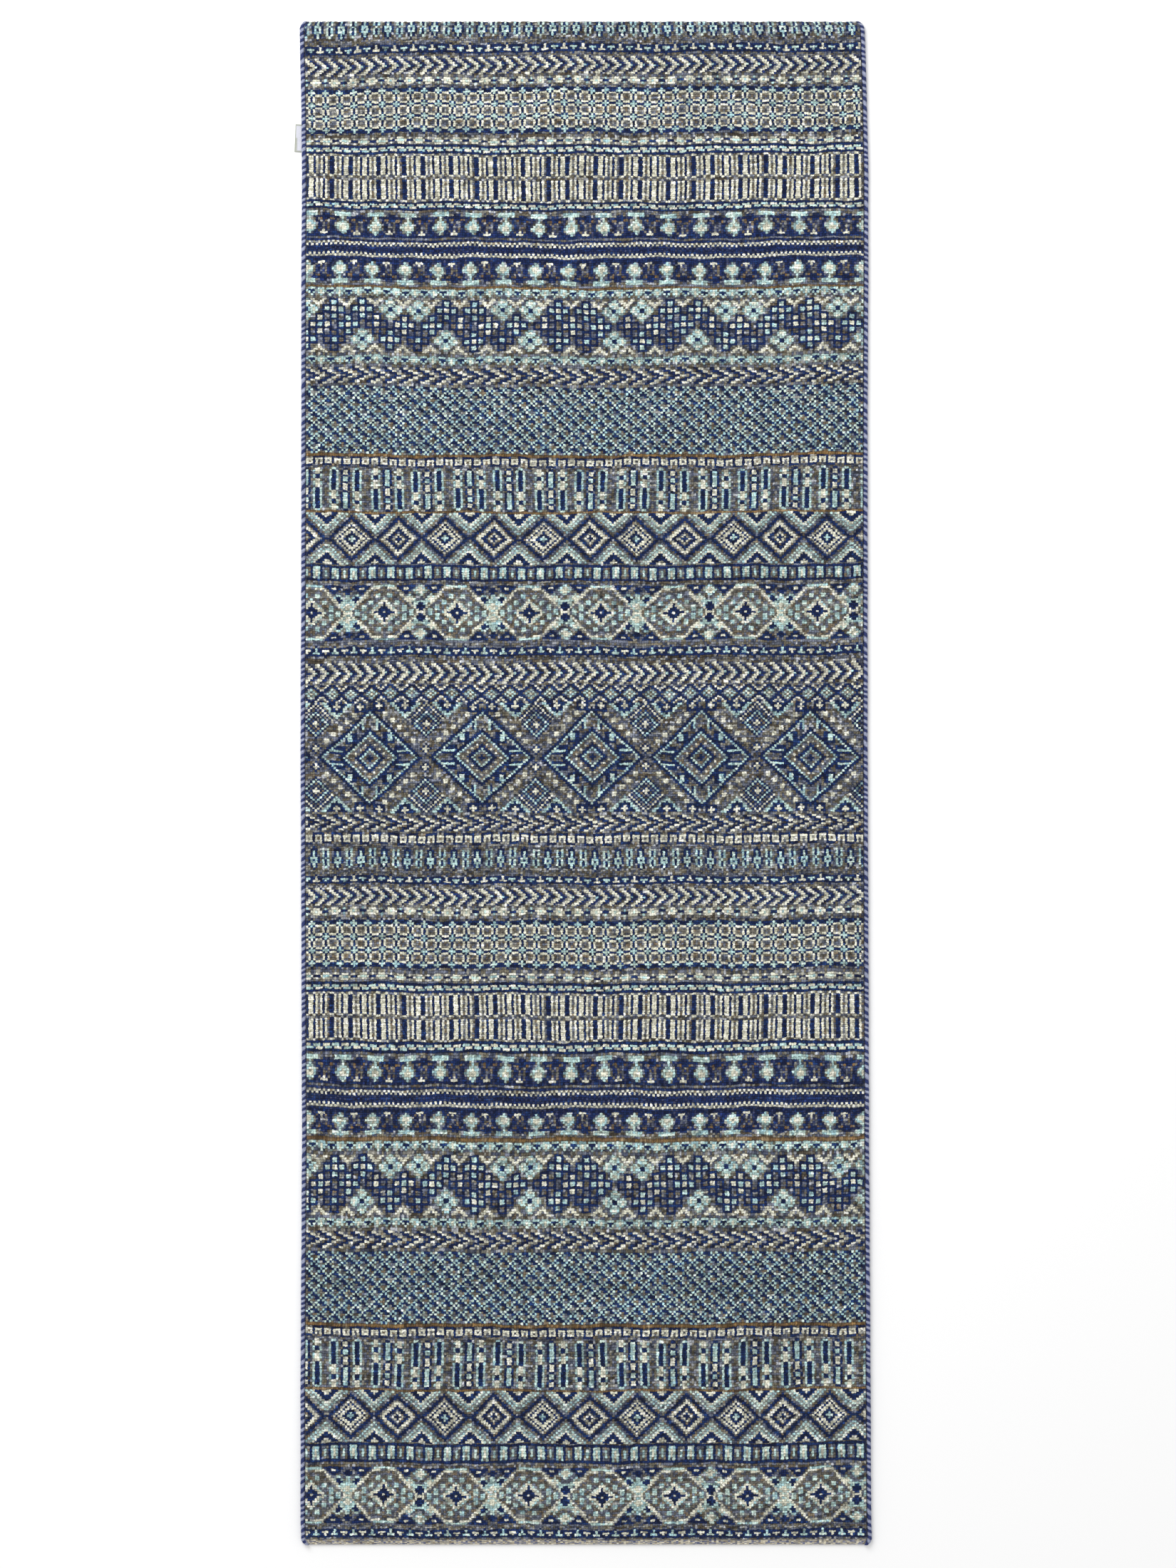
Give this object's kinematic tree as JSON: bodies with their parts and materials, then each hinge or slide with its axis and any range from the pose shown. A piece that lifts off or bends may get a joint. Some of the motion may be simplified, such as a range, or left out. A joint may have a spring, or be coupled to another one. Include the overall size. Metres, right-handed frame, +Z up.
{
  "type": "runner rug",
  "caption": "Long, narrow knotted wool runner rug with bands of small geometric motifs, overcast sides and turned-under ends; lies flat on a floor and folds in at both ends.",
  "frame": {"origin": "middle of the rug's underside, on the surface that it lies on", "axes": "+Z up out of the pile; +Y along the rug's length, towards the end with the label; +X across the rug, with the label on the -X side"},
  "size_m": [0.81, 2.15, 0.0113],
  "materials": {
    "pile": "short cut wool pile in navy, blue, grey, taupe, ice blue and cream knots, matt",
    "foundation": "plain-woven undyed cotton warp and weft with the knots' backs showing, matt",
    "edge_cord": "plied cotton cord, matt",
    "overcasting": "navy and slate wool yarn wrapped side by side, matt",
    "hem": "flat-woven wool and cotton band, matt",
    "thread": "cotton sewing thread, matt",
    "label": "pale grey woven tape, slight satin, blank"
  },
  "bodies": {
    "middle": {"foundation_middle": "foundation", "pile_speckle": "pile", "pile_octagons": "pile", "pile_diamonds": "pile", "pile_tallies": "pile", "edge_cord_left_middle": "edge_cord", "edge_cord_right_middle": "edge_cord", "overcasting_left_middle": "overcasting", "overcasting_right_middle": "overcasting"},
    "top_end": {"foundation_top": "foundation", "pile_top_rings": "pile", "pile_top_lattice": "pile", "edge_cord_left_top": "edge_cord", "edge_cord_right_top": "edge_cord", "overcasting_left_top": "overcasting", "overcasting_right_top": "overcasting", "hem_top": "hem", "hem_stitching_top": "thread", "label_tab": "label", "label_stitches": "thread"},
    "bottom_end": {"foundation_bottom": "foundation", "pile_bottom_speckle": "pile", "pile_bottom_octagons": "pile", "edge_cord_left_bottom": "edge_cord", "edge_cord_right_bottom": "edge_cord", "overcasting_left_bottom": "overcasting", "overcasting_right_bottom": "overcasting", "hem_bottom": "hem", "hem_stitching_bottom": "thread"},
    "label_flap": {"label_flap": "label"}
  },
  "joints": [
    {"name": "top_end_fold", "type": "hinge", "parent": "middle", "child": "top_end", "pos_m": [0, 0.542, 0.0123], "axis": [1, 0, 0], "range_deg": [0, 179]},
    {"name": "bottom_end_fold", "type": "hinge", "parent": "middle", "child": "bottom_end", "pos_m": [0, -0.542, 0.0123], "axis": [-1, 0, 0], "range_deg": [0, 179]},
    {"name": "label_turn", "type": "hinge", "parent": "top_end", "child": "label_flap", "pos_m": [-0.4008, 0.911, 0.0011], "axis": [0, 1, 0], "range_deg": [0, 90]}
  ]
}
